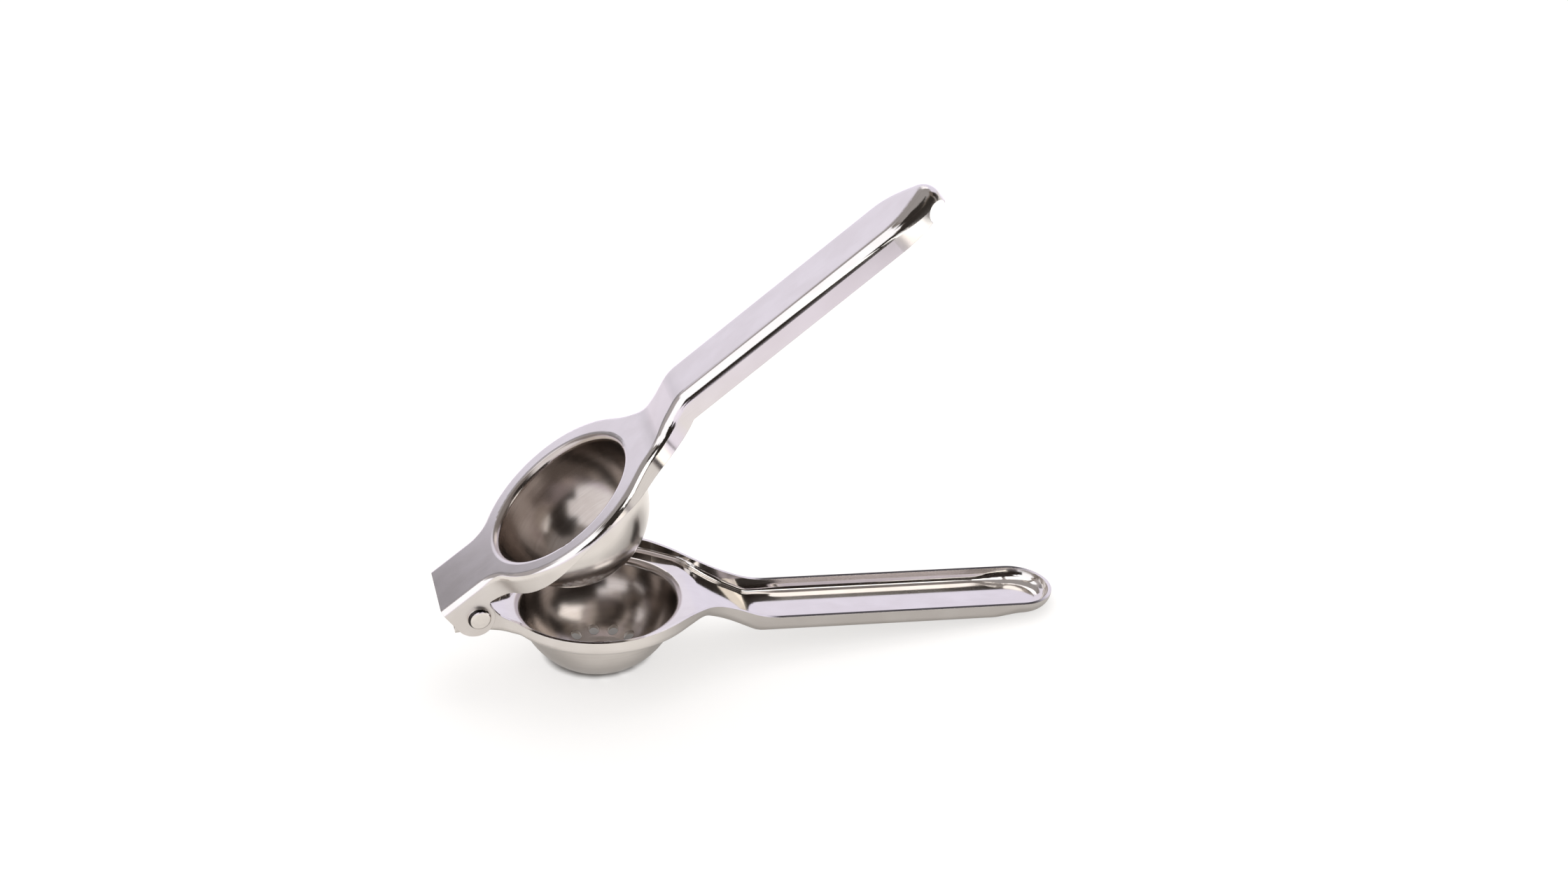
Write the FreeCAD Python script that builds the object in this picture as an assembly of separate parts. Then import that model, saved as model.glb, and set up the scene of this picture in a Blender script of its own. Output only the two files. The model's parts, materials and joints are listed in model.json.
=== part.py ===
import FreeCAD, Part
import math
import os

V = FreeCAD.Vector

# Sizes in millimetres. Each arm is drawn about the pin axis: X towards the handle tip, Z up.
# The finished press stands on the table at z = 0 with the middle of the bowl's flat base at the origin.

# Both arms
SHEET = 1.2
REACH = 205.0
HINGE_STRIP = 10.6
TIP_RUN = 12.0
OPEN_ANGLE = 35.5

# Drawn cup and bowl: a ball form with a flat base, a rounded knuckle and a rounded lip
CUP_RADIUS = 27.5
NEST = 0.7
BASE_CUT = 1.5
KNUCKLE = 9.2
LIP = 2.5
CUP_LIFT = 5.2
CUP_BACK = 0.7
BOWL_SINK = 5.0
BOWL_BACK = 3.1

# Upper arm in plan
UPPER_HALF = 14.3
RIM = 3.9
UPPER_SHOULDER = 10.0
UPPER_SLOPE = 47.0
UPPER_NECK = 26.0
UPPER_GRIP = 11.2
UPPER_TAPER = 32.0
UPPER_TIP = 7.0
OVERHANG = 1.7

# Upper arm from the side
PLATE_TOP = 9.9
RISE_GAP = 2.6
RISE_RUN = 15.5
RISE = 7.5
RISE_BEND = 14.0
GRIP_TILT = 0.95
BEVEL = 2.2
BEVEL_RUN = 10.5
GRIP_BEVEL = 3.6
TIP_BEVEL = 5.6
SKIRT_HINGE = 7.9
SKIRT_RING = 2.8
SKIRT_NECK = 6.7
SKIRT_GRIP = 9.4
HEM_RISE = 11.9
HEM_RING = 10.5
HEM_NECK = 33.0
HEM_GRIP = 52.5
EAR_X = -1.4
EAR_Z = 0.5
EAR_RADIUS = 6.8
EAR_FILLET = 1.5
NOTCH_RADIUS = 3.5
NOTCH_BACK = 4.0
NOTCH_RISE = 0.7

# Lower arm in plan
EAR_GAP = 0.2
RING_BACK = 1.3
LOWER_SHOULDER = 8.0
LOWER_SLOPE = 40.0
LOWER_NECK = 21.0
LOWER_GRIP = 13.3

# Lower arm from the side
STOP_GAP = 0.6
HINGE_FLOOR = -6.8
RING_FLOOR = -9.3
STEP_RUN = 10.5
STEP_BEND = 10.0
DROP_GAP = 1.5
DROP_RUN = 20.7
DROP = 12.5
DROP_BEND = 10.0
WALL = 5.5
GRIP_WALL = 5.75
WALL_LEAD = 1.1
WALL_LAG = 3.3
WALL_BEND = 50.0
WALL_FOOT = 30.0
FLOOR_BEND = 2.5
TIP_BEND = 5.5
LOBE_RADIUS = 5.4
LOBE_FILLET = 9.0
LOBE_END = -0.5

# Drain holes: rings of six and twelve round the bowl's flat middle
DRAIN = 3.6
DRAIN_RINGS = 2
DRAIN_PITCH = 6.5

# Hinge pin
PIN_RADIUS = 2.5
HEAD_RADIUS = 4.0
HEAD_HEIGHT = 1.6
HEAD_ROUND = 0.9
PIN_SEAT = 0.02
PIN_RUN = 0.05

# Sizes that follow from those above
BOWL_RADIUS = CUP_RADIUS + NEST
RING = CUP_RADIUS + LIP - SHEET + RIM + BEVEL
RING_X = HINGE_STRIP + RING
CUP_X = RING_X - CUP_BACK
BOWL_X = RING_X - BOWL_BACK
PIN_HEIGHT = BOWL_SINK + BOWL_RADIUS - BASE_CUT
RISE_START = RING_X + RING + RISE_GAP
RISE_END = RISE_START + RISE_RUN
UPPER_REACH = REACH + OVERHANG
STEP_END = BOWL_X - BOWL_RADIUS - LIP
DROP_START = BOWL_X + BOWL_RADIUS + LIP + DROP_GAP
DROP_END = DROP_START + DROP_RUN

# How far cutters run past the sheet, and how near two values count as one
PAST = 5.0
FAR = 60.0
NEAR = 0.01


def line(start, end):
    return Part.LineSegment(start, end).toShape()


def arc(start, end, centre):
    """Shorter arc about a centre."""
    middle = (start - centre) + (end - centre)
    radius = (start - centre).Length
    return Part.Arc(start, centre + middle.normalize() * radius, end).toShape()


def prism_y(edges):
    face = Part.Face(Part.Wire(Part.__sortEdges__(edges)))
    face.translate(V(0, -FAR, 0))
    return face.extrude(V(0, 2 * FAR, 0))


def prism_z(edges):
    face = Part.Face(Part.Wire(Part.__sortEdges__(edges)))
    face.translate(V(0, 0, -FAR))
    return face.extrude(V(0, 0, 2 * FAR))


def turned(edges):
    face = Part.Face(Part.Wire(Part.__sortEdges__(edges)))
    return face.revolve(V(0, 0, 0), V(0, 0, 1), 360)


def bent_line(points, bends):
    """Edges of a line through points, with an arc of each bend's radius at the inner points."""
    edges = []
    start = points[0]
    for before, corner, after, bend in zip(points, points[1:], points[2:], bends):
        into = (corner - before).normalize()
        away = (after - corner).normalize()
        turn = into.getAngle(away)
        reach = bend * math.tan(turn / 2)
        first = corner - into * reach
        last = corner + away * reach
        centre = corner + (away - into).normalize() * (bend / math.cos(turn / 2))
        edges.append(line(start, first))
        edges.append(arc(first, last, centre))
        start = last
    edges.append(line(start, points[-1]))
    return edges


def shifted(points, bends, gap):
    """The same bent line, moved up by gap square to itself, with its bends concentric."""
    normals = []
    for before, after in zip(points, points[1:]):
        along = (after - before).normalize()
        normals.append(V(-along.z, 0, along.x))
    moved = [points[0] + normals[0] * gap]
    radii = []
    for corner, first, last, bend in zip(points[1:], normals, normals[1:], bends):
        both = (first + last).normalize()
        moved.append(corner + both * (gap / both.dot(first)))
        upward = first.z * last.x - first.x * last.z < 0
        radii.append(bend - gap if upward else bend + gap)
    moved.append(points[-1] + normals[-1] * gap)
    return moved, radii


def plan(end_x, half, ring_x, shoulder, slope, neck, grip, taper, tip, reach, inset):
    """Plan outline, drawn in by inset: hinge strip, round ring, sloping neck, straight handle, round tip."""
    half = half - inset
    ring = RING - inset
    shoulder = shoulder + inset
    neck = neck + inset
    grip = grip - inset
    taper = taper - inset
    tip = tip - inset
    middle = V(ring_x, 0, 0)
    end = V(reach - inset, 0, 0)

    shoulder_x = ring_x - math.sqrt((ring + shoulder) ** 2 - (half + shoulder) ** 2)
    shoulder_centre = V(shoulder_x, half + shoulder, 0)
    shoulder_start = V(shoulder_x, half, 0)
    shoulder_end = middle + (shoulder_centre - middle).normalize() * ring

    turn = math.radians(slope)
    out = V(math.sin(turn), math.cos(turn), 0)
    neck_start = middle + out * ring
    neck_y = grip + neck - neck * out.y
    neck_foot = V(neck_start.x + (neck_start.y - neck_y) / math.tan(turn), neck_y, 0)
    neck_centre = neck_foot + out * neck
    neck_end = V(neck_centre.x, grip, 0)

    tip_centre = V(end.x - tip, 0, 0)
    taper_x = tip_centre.x - math.sqrt((taper - tip) ** 2 - (taper - grip) ** 2)
    taper_centre = V(taper_x, grip - taper, 0)
    tip_start = V(taper_x, grip, 0)
    grip_end = tip_start - V(TIP_RUN, 0, 0)
    side = [line(V(end_x, half, 0), shoulder_start),
            arc(shoulder_start, shoulder_end, shoulder_centre),
            Part.Arc(shoulder_end, V(ring_x, ring, 0), neck_start).toShape(),
            line(neck_start, neck_foot),
            arc(neck_foot, neck_end, neck_centre),
            line(neck_end, grip_end),
            line(grip_end, tip_start)]
    if taper > tip:
        taper_start = tip_start
        tip_start = tip_centre + (tip_centre - taper_centre).normalize() * tip
        side.append(arc(taper_start, tip_start, taper_centre))
    side.append(arc(tip_start, end, tip_centre))
    other = [edge.mirror(V(0, 0, 0), V(0, 1, 0)) for edge in side]
    return side + other + [line(V(end_x, half, 0), V(end_x, -half, 0))]


def on_rim(solid, edge, upward):
    """True for an edge where a side wall meets the plate or floor, but not across the open hinge end."""
    tilts = []
    for face in solid.ancestorsOfType(edge, Part.Face):
        u_first, u_last, v_first, v_last = face.ParameterRange
        tilts.append(face.normalAt((u_first + u_last) / 2, (v_first + v_last) / 2).z * upward)
    across = edge.BoundBox.XMax < solid.BoundBox.XMin + NEAR
    return max(tilts) > NEAR and abs(min(tilts)) < NEAR and not across


def rolled(solid, upward, zones, inset):
    """Round the rim edges: each zone (first x, last x, radius) sets its own, and the edges between blend."""
    book = FreeCAD.newDocument()
    blank = book.addObject("Part::Feature", "blank")
    blank.Shape = solid
    radii = []
    for number, edge in enumerate(solid.Edges, 1):
        along = edge.BoundBox
        for first, last, radius in zones:
            inside = along.XMin > first - NEAR and along.XMax < last + NEAR
            if inside and on_rim(solid, edge, upward):
                radii.append((number, radius - inset, radius - inset))
    rim = book.addObject("Part::Fillet", "rim")
    rim.Base = blank
    rim.Edges = radii
    book.recompute()
    shape = rim.Shape.copy()
    FreeCAD.closeDocument(book.Name)
    return shape


def drawn_form(radius, ball_z, face_z, gap, top_z):
    """Turned solid of the cup or bowl: its outside with gap 0, its hollow with gap SHEET."""
    rise = radius - BASE_CUT
    base_z = ball_z - rise
    ball = V(0, 0, ball_z)
    knuckle_x = math.sqrt((radius - KNUCKLE) ** 2 - (rise - KNUCKLE) ** 2)
    knuckle_centre = V(knuckle_x, 0, base_z + KNUCKLE)
    lip_z = face_z - LIP
    above = max(ball_z - lip_z, 0)
    lip_centre = V(math.sqrt((radius + LIP - SHEET) ** 2 - above ** 2), 0, lip_z)

    floor = V(0, 0, base_z + gap)
    floor_edge = V(knuckle_x, 0, base_z + gap)
    ball_start = ball + (knuckle_centre - ball).normalize() * (radius - gap)
    ball_end = V(radius - gap, 0, ball_z)
    lip_start = V(radius - gap, 0, lip_z)
    if above > 0:
        ball_end = ball + (lip_centre - ball).normalize() * (radius - gap)
        lip_start = ball_end
    lip_end = lip_centre + V(0, 0, LIP - SHEET + gap)
    edges = [line(floor, floor_edge),
             arc(floor_edge, ball_start, knuckle_centre),
             arc(ball_start, ball_end, ball),
             arc(lip_start, lip_end, lip_centre),
             line(lip_end, V(lip_end.x, 0, top_z)),
             line(V(lip_end.x, 0, top_z), V(0, 0, top_z)),
             line(V(0, 0, top_z), floor)]
    if above == 0:
        edges.append(line(ball_end, lip_start))
    return turned(edges)


def pin_hole(clearance):
    return Part.makeCylinder(PIN_RADIUS + clearance, 2 * FAR, V(0, -FAR, 0), V(0, 1, 0))


def upper_plan(end_x, inset):
    return plan(end_x, UPPER_HALF, RING_X, UPPER_SHOULDER, UPPER_SLOPE, UPPER_NECK,
                UPPER_GRIP, UPPER_TAPER, UPPER_TIP, UPPER_REACH, inset)


def lower_plan(end_x, inset):
    """The hinge strip runs between the upper arm's ears, and the tip is a half circle."""
    half = UPPER_HALF - SHEET - EAR_GAP
    return plan(end_x, half, RING_X - RING_BACK, LOWER_SHOULDER, LOWER_SLOPE, LOWER_NECK,
                LOWER_GRIP, LOWER_GRIP, LOWER_GRIP, REACH, inset)


def beyond(points, bends, level):
    """Everything between a bent line and a level above or below it."""
    first = V(points[0].x, 0, level)
    last = V(points[-1].x, 0, level)
    ends = [line(points[-1], last), line(last, first), line(first, points[0])]
    return prism_y(bent_line(points, bends) + ends)


def upper_hem(end_x, grip_start, tip_end):
    """Everything above the skirts' lower edge: ears, ring, neck and handle."""
    ear_edge = EAR_X + EAR_RADIUS
    hinge_skirt = PLATE_TOP - SKIRT_HINGE
    shelf = V(ear_edge + EAR_FILLET, 0, hinge_skirt)
    shelf_foot = V(ear_edge, 0, hinge_skirt - EAR_FILLET)
    ear_start = V(end_x, 0, EAR_Z)
    ear_end = V(ear_edge, 0, EAR_Z)
    curve = Part.BSplineCurve()
    curve.interpolate([shelf, V(HINGE_STRIP + HEM_RISE, 0, hinge_skirt),
                       V(RING_X + HEM_RING, 0, PLATE_TOP - SKIRT_RING),
                       V(RING_X + HEM_NECK, 0, PLATE_TOP - SKIRT_NECK), grip_start])
    top_tip = V(tip_end.x, 0, FAR)
    top_hinge = V(end_x, 0, FAR)
    edges = [curve.toShape(), arc(shelf, shelf_foot, V(shelf.x, 0, shelf_foot.z)),
             Part.Arc(ear_end, V(EAR_X, 0, EAR_Z - EAR_RADIUS), ear_start).toShape(),
             line(grip_start, tip_end), line(tip_end, top_tip), line(top_tip, top_hinge),
             line(top_hinge, ear_start)]
    if abs(shelf_foot.z - EAR_Z) > NEAR:
        edges.append(line(shelf_foot, ear_end))
    return prism_y(edges)


def upper_arm():
    """Stamped upper arm: flat plate with skirts, hinge ears, press cup and notched tip."""
    end_x = EAR_X - EAR_RADIUS
    climb = math.tan(math.radians(GRIP_TILT))
    grip_top = PLATE_TOP + RISE
    top = [V(end_x, 0, PLATE_TOP), V(RISE_START, 0, PLATE_TOP), V(RISE_END, 0, grip_top),
           V(UPPER_REACH + PAST, 0, grip_top + (UPPER_REACH + PAST - RISE_END) * climb)]
    bends = [RISE_BEND, RISE_BEND]
    hem_x = RING_X + HEM_GRIP
    grip_start = V(hem_x, 0, grip_top + (hem_x - RISE_END) * climb - SKIRT_GRIP)
    tip_end = top[-1] - V(0, 0, SKIRT_GRIP)
    blank = prism_z(upper_plan(end_x, 0)).common(beyond(top, bends, -FAR))
    tip_x = UPPER_REACH - UPPER_TIP
    bevel = [(-FAR, RISE_START, BEVEL), (RISE_START + BEVEL_RUN, tip_x, GRIP_BEVEL),
             (tip_x, UPPER_REACH, TIP_BEVEL)]
    blank = rolled(blank, 1, bevel, 0).common(upper_hem(end_x, grip_start, tip_end))

    inner_top, inner_bends = shifted(top, bends, -SHEET)
    inner_top[0] = V(end_x - PAST, 0, inner_top[0].z)
    hollow = prism_z(upper_plan(end_x - PAST, SHEET)).common(beyond(inner_top, inner_bends, -FAR))
    hollow = rolled(hollow, 1, bevel, SHEET)

    cup = drawn_form(CUP_RADIUS, CUP_LIFT, PLATE_TOP, 0, PLATE_TOP - SHEET / 2)
    cavity = drawn_form(CUP_RADIUS, CUP_LIFT, PLATE_TOP, SHEET, PLATE_TOP + PAST)
    for form in (cup, cavity):
        form.translate(V(CUP_X, 0, 0))
    notch_x = UPPER_REACH - NOTCH_BACK
    notch_z = grip_top + (notch_x - RISE_END) * climb - SKIRT_GRIP + NOTCH_RISE
    notch = Part.makeCylinder(NOTCH_RADIUS, 2 * FAR, V(notch_x, -FAR, notch_z), V(0, 1, 0))
    arm = blank.cut(hollow).fuse(cup).cut(cavity).cut(pin_hole(PIN_SEAT)).cut(notch)
    return arm.removeSplitter()


def lower_arm():
    """Stamped lower arm: open channel with hinge lobes, strainer bowl and dropped handle.

    Its hinge end is cut short, so that the upper plate clears it when the press is wide open.
    """
    end_x = SHEET + STOP_GAP - PLATE_TOP
    rest = V(REACH - TIP_BEND, 0, -PIN_HEIGHT)
    drop = V(DROP_END, 0, RING_FLOOR - DROP)
    fall = (rest - drop).normalize()
    tip = drop + fall * ((REACH + PAST - DROP_END) / fall.x)
    floor = [V(end_x, 0, HINGE_FLOOR), V(STEP_END - STEP_RUN, 0, HINGE_FLOOR), V(STEP_END, 0, RING_FLOOR),
             V(DROP_START, 0, RING_FLOOR), drop, tip]
    bends = [STEP_BEND, STEP_BEND, DROP_BEND, DROP_BEND]

    hem_z = RING_FLOOR + WALL
    lobe_fillet = V(0, 0, hem_z + LOBE_FILLET)
    lobe_fillet.x = math.sqrt((LOBE_RADIUS + LOBE_FILLET) ** 2 - lobe_fillet.z ** 2)
    lobe_end = lobe_fillet * (LOBE_RADIUS / lobe_fillet.Length)
    hem_start = V(lobe_fillet.x, 0, hem_z)
    lobe_foot = V(end_x, 0, LOBE_END)
    turn = math.atan2(LOBE_END, end_x) % (2 * math.pi) - math.acos(LOBE_RADIUS / lobe_foot.Length)
    lobe_start = V(math.cos(turn), 0, math.sin(turn)) * LOBE_RADIUS
    hem = [hem_start, V(DROP_START - WALL_LEAD, 0, hem_z),
           drop + fall * (WALL_LAG / fall.x) + V(0, 0, GRIP_WALL), tip + V(0, 0, GRIP_WALL)]
    side = bent_line(floor, bends)
    side += bent_line(hem, [WALL_BEND, WALL_FOOT])
    side += [line(tip, hem[-1]), arc(hem_start, lobe_end, lobe_fillet),
             Part.Arc(lobe_end, V(0, 0, LOBE_RADIUS), lobe_start).toShape(),
             line(lobe_start, lobe_foot), line(lobe_foot, floor[0])]
    blank = prism_z(lower_plan(end_x, 0)).common(beyond(floor, bends, FAR))
    tip_x = REACH - LOWER_GRIP
    bend = [(-FAR, tip_x - TIP_RUN, FLOOR_BEND), (tip_x, REACH, TIP_BEND)]
    blank = rolled(blank, -1, bend, 0).common(prism_y(side))

    inner, inner_bends = shifted(floor, bends, SHEET)
    inner[0] = V(end_x - PAST, 0, inner[0].z)
    hollow = prism_z(lower_plan(end_x - PAST, SHEET)).common(beyond(inner, inner_bends, FAR))
    hollow = rolled(hollow, -1, bend, SHEET)

    face_z = RING_FLOOR + SHEET
    bowl = drawn_form(BOWL_RADIUS, -BOWL_SINK, face_z, 0, face_z - SHEET / 2)
    cavity = drawn_form(BOWL_RADIUS, -BOWL_SINK, face_z, SHEET, face_z + PAST)
    for form in (bowl, cavity):
        form.translate(V(BOWL_X, 0, 0))
    arm = blank.cut(hollow).fuse(bowl).cut(cavity).cut(pin_hole(PIN_RUN))
    return arm.cut(drain_holes()).removeSplitter()


def drain_holes():
    """Straight holes through the bowl's bottom, in rings with six more holes each."""
    holes = []
    for ring in range(1, DRAIN_RINGS + 1):
        count = 6 * ring
        for step in range(count):
            turn = 2 * math.pi * step / count
            out = V(math.cos(turn), math.sin(turn), 0) * (ring * DRAIN_PITCH)
            holes.append(Part.makeCylinder(DRAIN / 2, FAR, V(BOWL_X, 0, -FAR) + out))
    return Part.makeCompound(holes)


def hinge_pin():
    """Rivet through both arms, with a rounded head on each side."""
    length = 2 * UPPER_HALF
    shank = Part.makeCylinder(PIN_RADIUS, length, V(0, -UPPER_HALF, 0), V(0, 1, 0))
    pin = shank
    for side in (-1, 1):
        head = Part.makeCylinder(HEAD_RADIUS, HEAD_HEIGHT, V(0, side * UPPER_HALF, 0), V(0, side, 0))
        outer = [edge for edge in head.Edges if abs(edge.BoundBox.Center.y) > UPPER_HALF + HEAD_HEIGHT / 2
                 and edge.BoundBox.YLength < HEAD_HEIGHT / 2]
        pin = pin.fuse(head.makeFillet(HEAD_ROUND, outer))
    return pin.removeSplitter()


def placed(shape, opened):
    """Turn a piece about the pin by the opening angle and stand the press on the table."""
    if opened:
        shape.rotate(V(0, 0, 0), V(0, 1, 0), -OPEN_ANGLE)
    shape.translate(V(-BOWL_X, 0, PIN_HEIGHT))
    return shape


pieces = {
    "lower_arm": placed(lower_arm(), False),
    "upper_arm": placed(upper_arm(), True),
    "hinge_pin": placed(hinge_pin(), True),
}
os.makedirs("parts", exist_ok=True)
for name, shape in pieces.items():
    solids = shape.Solids
    print(name, "solids", len(solids), "valid", shape.isValid(), "volume", round(shape.Volume, 1))
    solids[0].exportStep("parts/" + name + ".step")
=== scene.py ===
import bpy
import json
import math
from mathutils import Matrix, Vector

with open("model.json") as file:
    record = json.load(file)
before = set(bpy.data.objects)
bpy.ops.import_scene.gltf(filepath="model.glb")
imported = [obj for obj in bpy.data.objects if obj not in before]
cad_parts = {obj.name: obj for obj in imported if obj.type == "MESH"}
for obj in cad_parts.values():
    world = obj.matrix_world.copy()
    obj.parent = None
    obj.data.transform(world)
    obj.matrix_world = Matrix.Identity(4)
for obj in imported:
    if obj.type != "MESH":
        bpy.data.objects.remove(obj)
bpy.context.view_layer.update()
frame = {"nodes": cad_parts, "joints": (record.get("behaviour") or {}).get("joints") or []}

# Lengths are in metres, angles in degrees unless said otherwise, and colours are linear.

# The camera of the photograph, its lens and sensor in millimetres. The aim lies in the press's middle plane.
CAMERA_PLACE = Vector((-0.1242, -0.8058, 0.5376))
CAMERA_AIM = Vector((0.06575, 0.0, 0.0765))
CAMERA_ROLL = -0.463
CAMERA_LENS = 64.5
CAMERA_REACH = 20.0
SENSOR = 36.0

# The lamp, which looks at the origin
LAMP_PLACE = Vector((0.10, 0.30, 1.0))
LAMP_SIZE = 0.8
LAMP_POWER = 3.0

# The hinge, from the frame, its opening in radians, and the drawn forms in each arm's axes about the pin
HINGE = frame["joints"][0]
PIN = Vector(HINGE["pos_m"])
OPEN_ANGLE = -math.radians(HINGE["range_deg"][0])
CUP_CENTRE = Vector((0.0448, 0.0, 0.0052))
CUP_RADIUS = 0.0275
BOWL_CENTRE = Vector((0.0424, 0.0, -0.0050))
BOWL_RADIUS = 0.0282

# The lower grip's floor in the same axes: its height at the pin, and its rise along the arm
GRIP_FLOOR = -0.01154
GRIP_FALL = -0.0951

# Where the round of a handle's tip is centred along its arm
TIP_CENTRE = 0.191

# Steel: its reflections are warm, and the studio's light is a little violet
STEEL = (0.72, 0.685, 0.655)
STAIN = (0.67, 0.632, 0.60)
# Painted shade: the hollow of the cup and the bowl is laid in these darker, browner colours
HOLLOW_PAINTED_SHADE = (0.38, 0.33, 0.295)
HOLLOW_PAINTED_SHADE_PALE = (0.47, 0.42, 0.385)
RIVET = (0.74, 0.70, 0.66)
# Painted shadow for one side of the rivet head's rim
RIVET_PAINTED_SHADOW = (0.035, 0.030, 0.028)
# A flat near-black for the upward cut edge along the lower grip's rim
RIM_LINE_BLACK = (0.052, 0.046, 0.042)

# In the next four groups, each pair runs from where a finish is absent to where it is full.
# Stations along an arm from the pin
EAR_END = (0.018, 0.034)
NECK_START = (0.062, 0.074)
GRIP_START = (0.098, 0.112)
RIM_START = (0.098, 0.104)
RIM_END = (0.203, 0.195)

# Heights above the lower grip's floor: its cut edge, the upper part of its walls, and the neck's walls
CREST_HEIGHT = (0.0036, 0.0042)
WALL_HEIGHT = (0.0022, 0.0032)
NECK_HEIGHT = (0.0050, 0.0065)

# Parts of a face's normal: upward, sideways, and outward from the arm's middle line
BROAD_UP = (0.6, 0.8)
BROAD_SIDE = (0.30, 0.12)
CREST_UP = (0.80, 0.95)
SKIRT_UP = (0.37, 0.14)
SKIRT_OUT = (-0.2, 0.2)
WALL_OUT = (-0.90, -0.98)

# A drawn form: how far past its outside its finish fades, and its hollow, which gets painted shade, by how
# much its faces look inward
DRAWN_FADE = (0.0012, 0.0002)
DRAWN_HOLLOW = (0.0, -0.01)

# Roughness
POLISH = 0.10
EAR_SATIN = 0.42
SKIRT_SATIN = 0.20
RIM_SATIN = 0.18
DRAWN_SATIN = 0.20
RIVET_ROUGH = (0.15, 0.08)

# Noise: grains to the metre along each axis, or to the radian round a drawn form, then detail and roughness
BRUSHED = ((35.0, 3200.0, 1.0), 3.0, 0.6)
STAINED = ((90.0, 120.0, 120.0), 2.0, 0.5)
TURNED = ((0.9, 1500.0, 400.0), 3.0, 0.65)
RINGED = ((5200.0, 900.0, 1.0), 2.0, 0.6)
WORN = ((600.0, 600.0, 600.0), 2.0, 0.5)

# The spans of that noise over which one shade of steel passes into the other
SHEET_SHADE = (0.25, 0.75)
DRAWN_SHADE = (0.2, 0.8)
RIVET_SHADE = (0.3, 0.7)
RIVET_WEAR = (0.25, 0.75)

# What a streak or a stain does to the roughness and to the colour: on the sheet, then in the drawn forms
STREAK_ROUGH = (0.03, 0.05)
STREAK_SHADE = (0.4, 0.6)
STAIN_ROUGH = 0.04

# Relief too fine for the mesh, and the share of a wall's lean that is left in its upper part
HIGH_LEAN = 0.45
EDGE_ROUND = 0.0002
EDGE_SAMPLES = 4
SCRATCH_DEPTH = 0.00002
STREAK_BUMP = 0.02
RING_BUMP = 0.05

# The rivet's head: its offset, the painted shadow crescent beside its rim, and the fall of its rounded edge
ACROSS_PIN = (1.0, 0.0, 1.0)
HEAD_OFFSET = (0.0005, 0.0, -0.0005)
GAP_SHADOW_INNER = (0.0034, 0.0037)
GAP_SHADOW_OUTER = (0.0039, 0.0038)
HEAD_EDGE = (0.0022, 0.0033)
HEAD_FALL = 0.25

# What the metal mirrors of the room, with the heights between which the walls pass into the ceiling
WALLS = (0.20, 0.168, 0.145)
CEILING = (0.42, 0.40, 0.40)
CEILING_HEIGHT = (56.0, 68.0)
WHITE = (1.48, 1.50, 1.58)
BRIGHT = (1.74, 1.70, 1.76)
VIOLET = (1.05, 1.02, 1.18)
VIOLET_SIDE = (1.03, 1.00, 1.18)
WARM = (0.95, 0.92, 0.90)
GREY = (0.52, 0.49, 0.50)
DIM = (0.42, 0.39, 0.38)
DUSK = (0.14, 0.118, 0.10)
DARK = (0.04, 0.034, 0.03)

# The room's soft panels, each laid over those before it: the bearing of its middle from the back wall, half
# its width, its lowest and highest height, the softness of its edges, and its colour
PANELS = (
    (180.0, 15.0, 20.0, 56.0, 6.0, DUSK),
    (-8.0, 67.0, 40.0, 64.0, 4.0, CEILING),
    (-25.0, 75.0, -12.0, 36.0, 4.0, VIOLET),
    (42.0, 22.0, -12.0, 46.0, 4.0, VIOLET_SIDE),
    (16.0, 16.0, 35.0, 50.0, 2.0, BRIGHT),
    (-72.0, 22.0, -12.0, 44.0, 4.0, GREY),
    (-119.0, 51.0, 30.0, 56.0, 4.0, WHITE),
    (-133.0, 37.0, -10.0, 40.0, 4.0, WHITE),
    (178.0, 34.0, 46.0, 77.0, 4.0, DARK),
    (80.0, 36.0, -10.0, 11.0, 3.0, WARM),
    (96.0, 12.0, 14.0, 36.0, 5.0, DIM),
    (80.0, 12.0, 6.0, 43.0, 3.0, DARK),
    (150.0, 32.0, -12.0, 47.0, 3.0, DARK),
    (121.0, 18.0, 16.0, 56.0, 4.0, DARK),
)

# What the room sheds on the table, and what the camera sees behind the press
ROOM_LIGHT = (0.80, 0.79, 0.79)
BACKDROP = (1.0, 1.0, 1.0)

# Cards near the press that only the metal mirrors: opposite corners and colour
CARD_DARK = (0.026, 0.020, 0.017)
CARDS = (
    ("front_card", (-0.02, -0.34, 0.0), (0.26, -0.34, 0.24), CARD_DARK),
    ("side_card", (-0.15, -0.34, 0.07), (-0.02, -0.34, 0.20), CARD_DARK),
    ("back_card", (-0.60, 0.42, 0.0), (-0.25, 0.42, 0.40), (0.35, 0.34, 0.365)),
    ("low_card", (0.19, -0.339, 0.032), (0.52, -0.339, 0.085), (2.0, 1.92, 1.75)),
    ("top_card", (0.045, -0.10, 0.15), (0.20, -0.025, 0.15), (2.25, 2.25, 2.25)),
)

# The table: its corners, its paint, and the lift that the camera sees outside the shade under the base
TABLE_LOW = (-3.0, -1.5, 0.0)
TABLE_HIGH = (3.0, 4.0, 0.0)
TABLE_PAINT = (0.46, 0.45, 0.44)
BASE_MIDDLE = (0.0, 0.006, 0.0)
BASE_EDGE = (0.0165, 0.0205)
EYE_LIFT = 0.63
EYE_TONE = (1.0, 0.995, 0.99)

# The lift that the metal mirrors: low under the press, higher clear of it and far to its sides
PRESS_LEFT = -0.02
PRESS_RIGHT = 0.165
CLEAR = (0.025, 0.085)
CLEAR_LIFT = (0.22, 0.66)
SIDES = (0.18, 0.32)
SIDES_LIFT = 0.18

# A band of more lift close beside the bowl and the hinge, which fades out along the arm
BOWL_INNER = (0.012, 0.032)
BOWL_OUTER = (0.065, 0.045)
BOWL_ALONG = (0.015, 0.045)
BOWL_LIFT = 0.24

# The tone of that lift near the press and far to its sides
TONE_SIDES = (0.14, 0.24)
TONE_NEAR = (1.0, 0.97, 0.93)
TONE_FAR = (0.95, 0.89, 1.11)


def linked(thing):
    bpy.context.scene.collection.objects.link(thing)
    return thing


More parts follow.
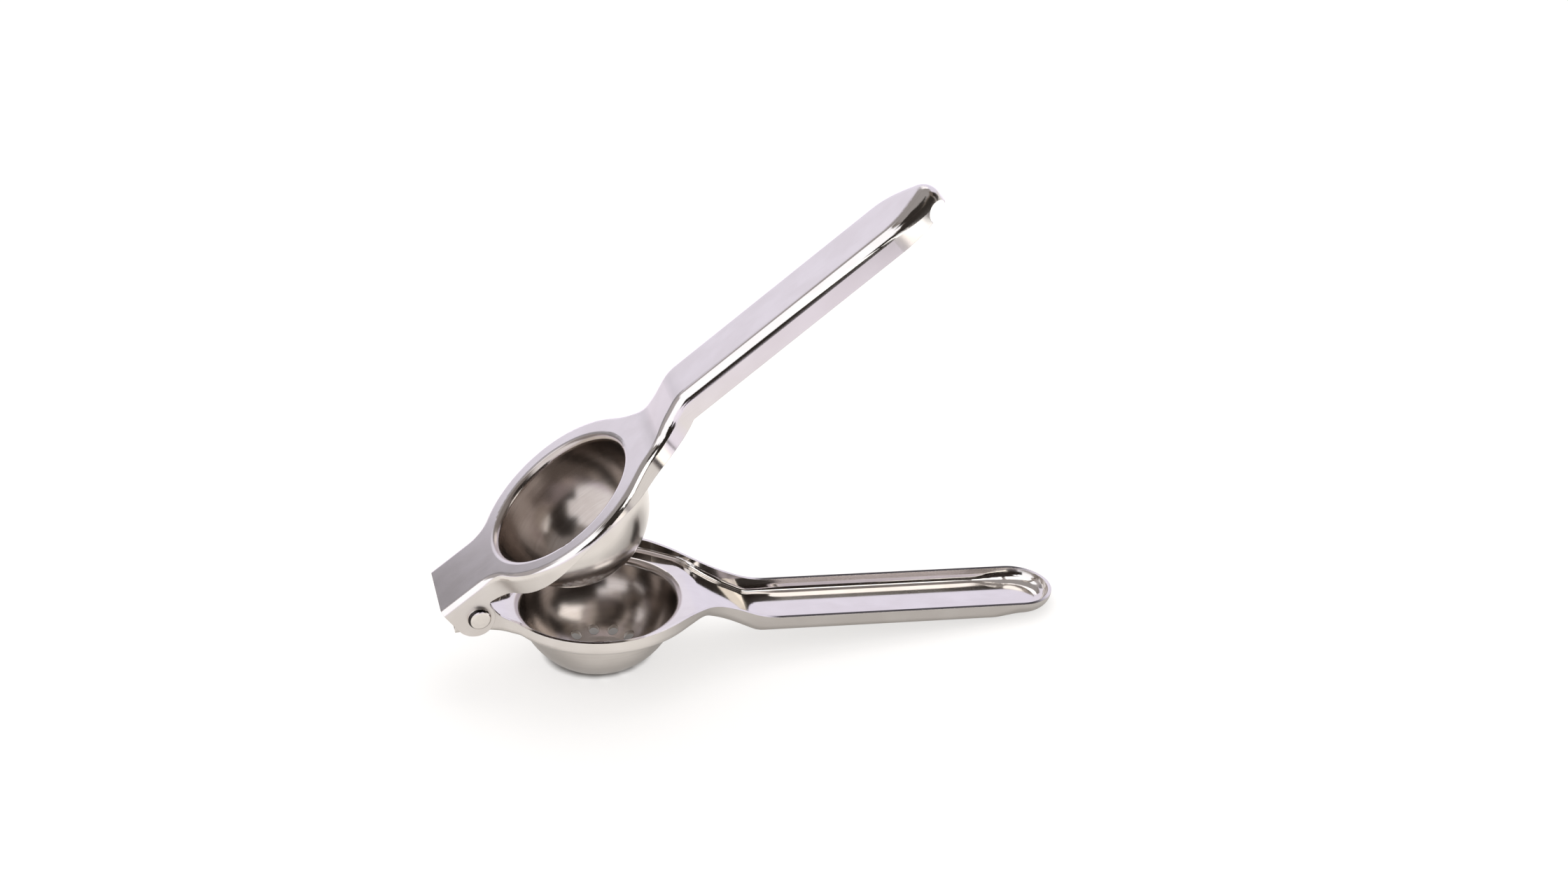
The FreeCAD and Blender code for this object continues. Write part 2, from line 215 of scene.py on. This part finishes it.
class Graph:
    """Short calls for a node tree. Most of them add a node and give back its output."""

    def __init__(self, tree):
        self.tree = tree
        tree.nodes.clear()

    def node(self, kind, **settings):
        """A new node itself, with its settings."""
        made = self.tree.nodes.new("ShaderNode" + kind)
        for name, value in settings.items():
            setattr(made, name, value)
        return made

    def feed(self, socket, value):
        """Link a socket to an output, or set its value."""
        if isinstance(value, bpy.types.NodeSocket):
            self.tree.links.new(value, socket)
        else:
            socket.default_value = value

    def math(self, operation, *values):
        made = self.node("Math", operation=operation)
        for socket, value in zip(made.inputs, values):
            self.feed(socket, value)
        return made.outputs[0]

    def vector(self, operation, *values):
        made = self.node("VectorMath", operation=operation)
        for socket, value in zip(made.inputs, values):
            self.feed(socket, value)
        return made.outputs["Value" if operation in ("LENGTH", "DOT_PRODUCT") else "Vector"]

    def split(self, vector):
        made = self.node("SeparateXYZ")
        self.feed(made.inputs[0], vector)
        return made.outputs

    def join(self, *values):
        made = self.node("CombineXYZ")
        for socket, value in zip(made.inputs, values):
            self.feed(socket, value)
        return made.outputs[0]

    def ease(self, value, low, high, start=0.0, end=1.0):
        """Smooth step of a value from low to high, giving start to end."""
        made = self.node("MapRange", interpolation_type="SMOOTHSTEP")
        for socket, number in zip(made.inputs, (value, low, high, start, end)):
            self.feed(socket, number)
        return made.outputs[0]

    def blend(self, share, first, second):
        """A number between two, or between two maps of numbers."""
        made = self.node("Mix", data_type="FLOAT")
        for socket, value in zip((made.inputs[0], made.inputs[2], made.inputs[3]), (share, first, second)):
            self.feed(socket, value)
        return made.outputs[0]

    def tint(self, share, first, second):
        """A colour between two, or between two maps of colour."""
        made = self.node("Mix", data_type="RGBA")
        self.feed(made.inputs[0], share)
        for socket, colour in zip((made.inputs[6], made.inputs[7]), (first, second)):
            if isinstance(colour, tuple):
                colour = (*colour, 1.0)
            self.feed(socket, colour)
        return made.outputs[2]

    def turn(self, vector, place, angle):
        """A vector in the axes of an arm that is turned up about a place by an angle in radians."""
        made = self.node("Mapping", vector_type="TEXTURE")
        self.feed(made.inputs["Vector"], vector)
        made.inputs["Location"].default_value = place
        made.inputs["Rotation"].default_value = (0.0, -angle, 0.0)
        return made.outputs[0]

    def noise(self, vector, stretch, detail, roughness):
        """Noise from 0 to 1, with so many grains to the unit along each axis."""
        made = self.node("TexNoise")
        made.inputs["Scale"].default_value = 1.0
        made.inputs["Detail"].default_value = detail
        made.inputs["Roughness"].default_value = roughness
        self.feed(made.inputs["Vector"], self.vector("MULTIPLY", vector, stretch))
        return made.outputs[0]


def new_material(name):
    material = bpy.data.materials.new(name)
    material.use_nodes = True
    return material, Graph(material.node_tree)


def new_steel(g, colour, rough, bump):
    """Metal with a colour, a roughness and a bump node, as the material's surface."""
    steel = g.node("BsdfPrincipled")
    steel.inputs["Metallic"].default_value = 1.0
    g.feed(steel.inputs["Base Color"], colour)
    g.feed(steel.inputs["Roughness"], rough)
    g.feed(steel.inputs["Normal"], bump.outputs[0])
    g.feed(g.node("OutputMaterial").inputs[0], steel.outputs[0])


def new_bump(g, strength, height, normal, tilt):
    """Fine scratches on a normal that is tilted by a vector in the object's axes."""
    bump = g.node("Bump")
    bump.inputs["Strength"].default_value = strength
    bump.inputs["Distance"].default_value = SCRATCH_DEPTH
    g.feed(bump.inputs["Height"], height)
    to_world = g.node("VectorTransform", vector_type="VECTOR", convert_from="OBJECT", convert_to="WORLD")
    g.feed(to_world.inputs[0], tilt)
    tilted = g.vector("NORMALIZE", g.vector("ADD", normal, to_world.outputs[0]))
    g.feed(bump.inputs["Normal"], tilted)
    return bump


def camera():
    data = bpy.data.cameras.new("camera")
    data.lens = CAMERA_LENS
    data.sensor_width = SENSOR
    data.clip_end = CAMERA_REACH
    eye = linked(bpy.data.objects.new("camera", data))
    look = (CAMERA_AIM - CAMERA_PLACE).to_track_quat("-Z", "Y").to_matrix().to_4x4()
    roll = Matrix.Rotation(math.radians(CAMERA_ROLL), 4, "Z")
    eye.matrix_world = Matrix.Translation(CAMERA_PLACE) @ look @ roll
    bpy.context.scene.camera = eye


def arm_steel(name, angle, centre, radius, face, neck, wall, lean, rim_black):
    """Stamped steel: a satin face grained along the arm, polished bends, and a turned cup or bowl with
    painted shade in its hollow.

    face, neck and wall are the roughness of the arm's broad face, of the skirt at its neck and of the
    inside of its walls, lean is the slope of those walls at the grip's floor, and the last argument is how
    far the cut edge along the grip's rim is coloured a flat near-black."""
    material, g = new_material(name)
    point = g.turn(g.node("TexCoord").outputs["Object"], PIN, angle)
    shape = g.node("NewGeometry")
    to_object = g.node("VectorTransform", vector_type="NORMAL", convert_from="WORLD", convert_to="OBJECT")
    g.feed(to_object.inputs[0], shape.outputs["Normal"])
    facing = g.split(g.turn(to_object.outputs[0], (0, 0, 0), angle))
    facing_way = g.join(*facing)
    side = g.math("ABSOLUTE", facing[1])
    upright = g.math("ABSOLUTE", facing[2])
    spot = g.split(point)
    from_cup = g.vector("SUBTRACT", point, centre)
    depth = g.vector("LENGTH", from_cup)

    # Where each finish lies: the drawn form, its hollow for the painted shade, the broad face, and both
    # sides of the walls
    cup = g.ease(depth, radius + DRAWN_FADE[0], radius + DRAWN_FADE[1])
    shaded_hollow_mask = g.ease(g.vector("DOT_PRODUCT", from_cup, facing_way), *DRAWN_HOLLOW)
    flat = g.math("MULTIPLY", g.ease(side, *BROAD_SIDE), g.ease(facing[2], *BROAD_UP))
    flat = g.math("MULTIPLY", flat, g.math("SUBTRACT", 1.0, cup))
    past_tip = g.math("MAXIMUM", g.math("SUBTRACT", spot[0], TIP_CENTRE), 0.0)
    outward = g.vector("NORMALIZE", g.join(past_tip, spot[1], 0.0))
    out = g.vector("DOT_PRODUCT", outward, facing_way)
    inside = g.ease(out, *WALL_OUT)
    skirt = g.math("MULTIPLY", g.ease(upright, *SKIRT_UP), g.ease(out, *SKIRT_OUT))
    narrow = g.math("MULTIPLY", g.ease(spot[0], *NECK_START), g.ease(spot[0], *reversed(GRIP_START)))

    # Heights over the lower grip's floor, for its walls and the cut edge along its rim
    floor = g.math("MULTIPLY_ADD", spot[0], GRIP_FALL, GRIP_FLOOR)
    above = g.math("SUBTRACT", spot[2], floor)
    high = g.ease(above, *WALL_HEIGHT)
    crest = g.math("MULTIPLY", g.ease(facing[2], *CREST_UP), g.ease(above, *CREST_HEIGHT, 0.0, rim_black))
    crest = g.math("MULTIPLY", crest, g.ease(spot[0], *RIM_START))
    crest = g.math("MULTIPLY", crest, g.ease(spot[0], *RIM_END))

    # Fine streaks, brushed along the sheet and turned round the drawn form, and faint stains
    across = g.math("MULTIPLY", spot[1], upright)
    across = g.math("ADD", across, g.math("MULTIPLY", spot[2], side))
    brushed = g.noise(g.join(spot[0], across, 0.0), *BRUSHED)
    around = g.split(from_cup)
    swing = g.math("ARCTAN2", around[1], around[0])
    turned = g.noise(g.join(swing, around[2], depth), *TURNED)
    streak = g.math("SUBTRACT", g.blend(cup, brushed, turned), 0.5)
    stain = g.noise(point, *STAINED)

    rough = g.blend(flat, POLISH, face)
    satin = g.ease(spot[0], *EAR_END, EAR_SATIN, SKIRT_SATIN)
    rough = g.blend(skirt, rough, g.blend(narrow, satin, neck))
    rough = g.blend(inside, rough, g.blend(high, wall, RIM_SATIN))
    rough = g.blend(cup, rough, DRAWN_SATIN)
    rough = g.math("ADD", rough, g.math("MULTIPLY", streak, g.blend(cup, *STREAK_ROUGH)))
    rough = g.math("ADD", rough, g.math("MULTIPLY", g.math("SUBTRACT", stain, 0.5), STAIN_ROUGH))

    shade = g.math("ADD", stain, g.math("MULTIPLY", streak, g.blend(cup, *STREAK_SHADE)))
    colour = g.tint(g.ease(shade, *SHEET_SHADE), STAIN, STEEL)
    painted_hollow_shade = g.tint(g.ease(shade, *DRAWN_SHADE), HOLLOW_PAINTED_SHADE, HOLLOW_PAINTED_SHADE_PALE)
    # Painted shade: the hollow of the cup or the bowl takes the darker, browner colours
    colour = g.tint(g.math("MULTIPLY", cup, shaded_hollow_mask), colour, painted_hollow_shade)
    # The upward cut edge along the lower grip's rim is coloured a flat near-black
    colour = g.tint(crest, colour, RIM_LINE_BLACK)

    # The walls' normals lean up a little, less in their upper part
    edge = g.node("Bevel", samples=EDGE_SAMPLES)
    edge.inputs["Radius"].default_value = EDGE_ROUND
    leaning = g.math("MAXIMUM", g.ease(spot[0], *GRIP_START), g.ease(above, *NECK_HEIGHT))
    leaning = g.math("MULTIPLY", g.blend(high, lean, HIGH_LEAN * lean), leaning)
    tilt = g.join(0.0, 0.0, g.math("MULTIPLY", inside, leaning))
    new_steel(g, colour, rough, new_bump(g, STREAK_BUMP, streak, edge.outputs[0], tilt))
    return material


def rivet_steel():
    """Polished pin, with fine rings left by turning round its own axis, and a painted shadow along one side
    of its head's rim.
    """
    material, g = new_material("rivet_steel")
    spot = g.vector("SUBTRACT", g.node("TexCoord").outputs["Object"], PIN)
    radial = g.vector("MULTIPLY", spot, ACROSS_PIN)
    spread = g.vector("LENGTH", radial)
    rings = g.noise(g.join(spread, g.split(spot)[1], 0.0), *RINGED)
    wear = g.noise(spot, *WORN)
    shade = g.math("ADD", g.math("MULTIPLY", rings, 0.5), g.math("MULTIPLY", wear, 0.5))
    rough = g.ease(shade, *RIVET_WEAR, *RIVET_ROUGH)

    # Painted shadow: a near-black crescent along one side of the head's rim, between the rim and a circle
    # set a little aside
    aside = g.vector("MULTIPLY", g.vector("SUBTRACT", spot, HEAD_OFFSET), ACROSS_PIN)
    off = g.vector("LENGTH", aside)
    painted_gap_shadow = g.math("MULTIPLY", g.ease(off, *GAP_SHADOW_INNER), g.ease(spread, *GAP_SHADOW_OUTER))
    colour = g.tint(g.ease(shade, *RIVET_SHADE), STAIN, RIVET)
    colour = g.tint(painted_gap_shadow, colour, RIVET_PAINTED_SHADOW)

    fall = g.ease(off, *HEAD_EDGE, 0.0, HEAD_FALL)
    tilt = g.vector("MULTIPLY", g.vector("NORMALIZE", radial), g.join(fall, 0.0, fall))
    normal = g.node("NewGeometry").outputs["Normal"]
    new_steel(g, colour, rough, new_bump(g, RING_BUMP, rings, normal, tilt))
    return material


def studio():
    """White to the camera, a room with soft panels to the metal, and an even grey to the table."""
    world = bpy.data.worlds.new("studio")
    bpy.context.scene.world = world
    world.use_nodes = True
    g = Graph(world.node_tree)
    way = g.split(g.node("TexCoord").outputs["Generated"])
    bearing = g.math("DEGREES", g.math("ARCTAN2", way[0], way[1]))
    height = g.math("DEGREES", g.math("ARCSINE", way[2]))

    room = g.tint(g.ease(height, *CEILING_HEIGHT), WALLS, CEILING)
    for middle, half, low, high, soft, colour in PANELS:
        off = g.math("ABSOLUTE", g.math("WRAP", g.math("SUBTRACT", bearing, middle), 180.0, -180.0))
        wide = g.ease(off, half + soft, half - soft)
        above = g.ease(height, low - soft, low + soft)
        below = g.ease(height, high + soft, high - soft)
        room = g.tint(g.math("MULTIPLY", wide, g.math("MULTIPLY", above, below)), room, colour)

    rays = g.node("LightPath").outputs
    to_metal = g.tint(rays["Is Glossy Ray"], ROOM_LIGHT, room)
    to_eye = g.tint(rays["Is Camera Ray"], to_metal, BACKDROP)
    sky = g.node("Background")
    g.feed(sky.inputs["Color"], to_eye)
    g.feed(g.node("OutputWorld").inputs[0], sky.outputs[0])


def sheet(name, low, high, material):
    """A flat stage piece between two opposite corners: level if their heights are equal, else upright."""
    low = Vector(low)
    high = Vector(high)
    if low.z == high.z:
        corners = [low, (high.x, low.y, low.z), high, (low.x, high.y, low.z)]
    else:
        corners = [low, (high.x, high.y, low.z), high, (low.x, low.y, high.z)]
    mesh = bpy.data.meshes.new(name)
    mesh.from_pydata([tuple(corner) for corner in corners], [], [(0, 1, 2, 3)])
    mesh.materials.append(material)
    piece = linked(bpy.data.objects.new(name, mesh))
    return piece


def table():
    """White table top: part of its white is diffuse and holds the shadow, the rest is lift."""
    material, g = new_material("table")
    paint = g.node("BsdfDiffuse")
    paint.inputs["Color"].default_value = (*TABLE_PAINT, 1.0)
    place = g.node("TexCoord").outputs["Object"]
    spot = g.split(place)
    rays = g.node("LightPath").outputs

    from_base = g.vector("LENGTH", g.vector("SUBTRACT", place, BASE_MIDDLE))
    to_eye = g.math("MULTIPLY", rays["Is Camera Ray"], g.ease(from_base, *BASE_EDGE, 0.0, EYE_LIFT))

    # The lift that the metal mirrors goes by the distance from the press's middle line
    left = g.math("MAXIMUM", g.math("SUBTRACT", PRESS_LEFT, spot[0]), 0.0)
    beyond = g.math("MAXIMUM", g.math("SUBTRACT", spot[0], PRESS_RIGHT), left)
    clear = g.vector("LENGTH", g.join(beyond, spot[1], 0.0))
    aside = g.math("ABSOLUTE", spot[1])
    level = g.math("ADD", g.ease(clear, *CLEAR, *CLEAR_LIFT), g.ease(aside, *SIDES, 0.0, SIDES_LIFT))
    band = g.math("MULTIPLY", g.ease(clear, *BOWL_INNER), g.ease(clear, *BOWL_OUTER))
    band = g.math("MULTIPLY", band, g.ease(spot[0], *BOWL_ALONG, BOWL_LIFT, 0.0))
    to_metal = g.math("MULTIPLY", rays["Is Glossy Ray"], g.math("ADD", level, band))
    tone = g.tint(g.ease(aside, *TONE_SIDES), TONE_NEAR, TONE_FAR)

    lift = g.node("Emission")
    g.feed(lift.inputs["Color"], g.tint(rays["Is Glossy Ray"], EYE_TONE, tone))
    g.feed(lift.inputs["Strength"], g.math("ADD", to_eye, to_metal))
    both = g.node("AddShader")
    g.feed(both.inputs[0], paint.outputs[0])
    g.feed(both.inputs[1], lift.outputs[0])
    g.feed(g.node("OutputMaterial").inputs[0], both.outputs[0])
    sheet("table", TABLE_LOW, TABLE_HIGH, material)


def card(name, low, high, colour):
    """A card near the press, seen only as a reflection."""
    material, g = new_material(name)
    shade = g.node("Emission")
    shade.inputs["Color"].default_value = (*colour, 1.0)
    g.feed(g.node("OutputMaterial").inputs[0], shade.outputs[0])
    piece = sheet(name, low, high, material)
    piece.visible_camera = False
    piece.visible_diffuse = False
    piece.visible_shadow = False


def lamp():
    data = bpy.data.lights.new("soft_lamp", "AREA")
    data.size = LAMP_SIZE
    data.energy = LAMP_POWER
    light = linked(bpy.data.objects.new("soft_lamp", data))
    aim = LAMP_PLACE.to_track_quat("Z", "Y").to_matrix().to_4x4()
    light.matrix_world = Matrix.Translation(LAMP_PLACE) @ aim
    light.visible_glossy = False


camera()
studio()
table()
for card_row in CARDS:
    card(*card_row)
lamp()

upper_steel = arm_steel(
    "upper_steel", OPEN_ANGLE, CUP_CENTRE, CUP_RADIUS,
    face=0.24, neck=0.12, wall=0.22, lean=0.0, rim_black=0.0)
lower_steel = arm_steel(
    "lower_steel", 0.0, BOWL_CENTRE, BOWL_RADIUS,
    face=0.09, neck=0.20, wall=0.08, lean=0.32, rim_black=1.0)
frame["nodes"]["upper_arm"].data.materials[0] = upper_steel
frame["nodes"]["lower_arm"].data.materials[0] = lower_steel
frame["nodes"]["hinge_pin"].data.materials[0] = rivet_steel()

bpy.context.scene.view_settings.view_transform = "Standard"
